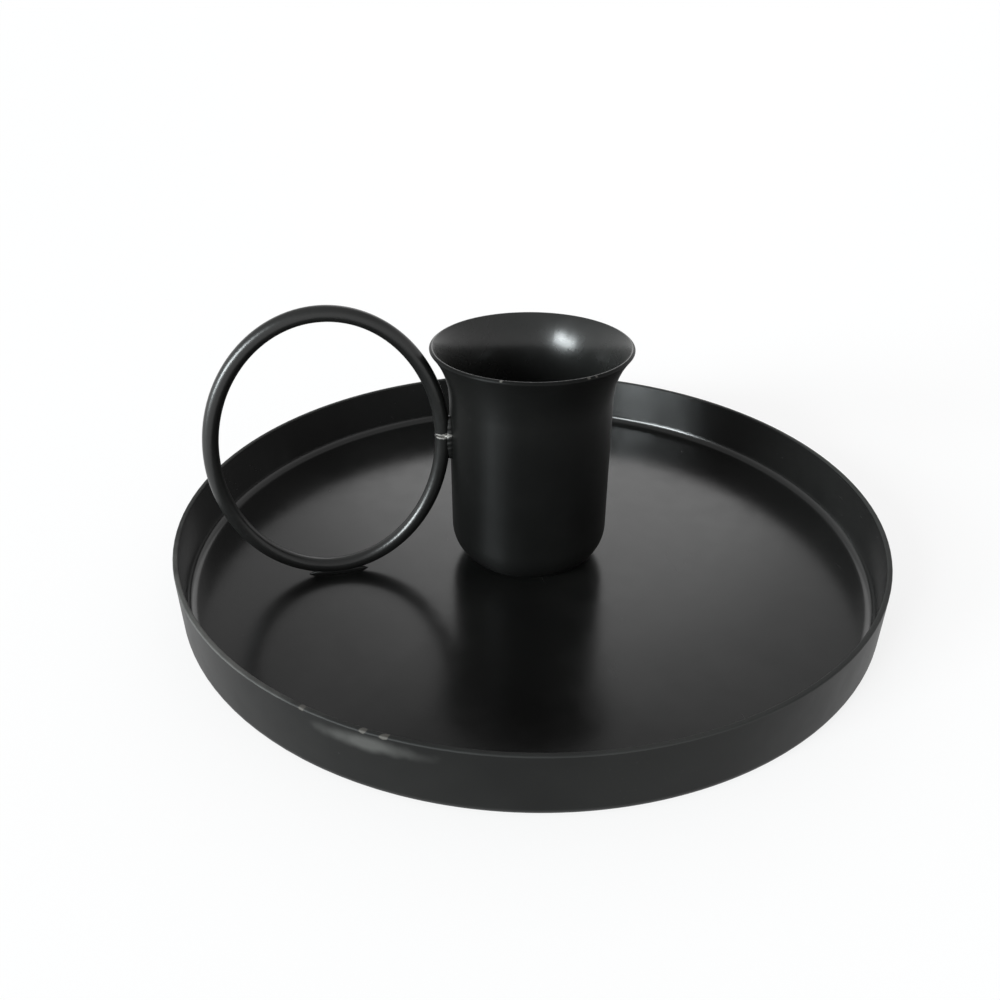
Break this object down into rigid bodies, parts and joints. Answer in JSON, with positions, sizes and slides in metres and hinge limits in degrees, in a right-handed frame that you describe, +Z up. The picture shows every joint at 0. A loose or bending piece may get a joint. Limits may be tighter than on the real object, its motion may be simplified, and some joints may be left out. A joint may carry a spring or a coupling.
{
  "type": "chamberstick",
  "caption": "Round walled tray with a flared candle cup in its middle and an upright oval wire finger loop welded beside the cup, leaning a little towards it.",
  "frame": {"origin": "middle of the tray's flat underside", "axes": "+Z up along the candle's axis; the finger loop stands in the XZ plane on the -X side of the cup"},
  "size_m": [0.105, 0.105, 0.0423],
  "materials": {
    "tray_paint": "semi-gloss black enamel on pressed steel",
    "cup_paint": "semi-gloss black enamel on drawn steel",
    "loop_paint": "semi-gloss black enamel on round steel wire",
    "weld_paint": "black enamel over a rough weld bead, thin at the butt"
  },
  "bodies": {
    "root": {"tray": "tray_paint", "candle_cup": "cup_paint", "cup_rivet": "cup_paint", "finger_loop": "loop_paint", "loop_cup_weld": "weld_paint", "loop_foot_weld": "weld_paint"}
  },
  "joints": []
}
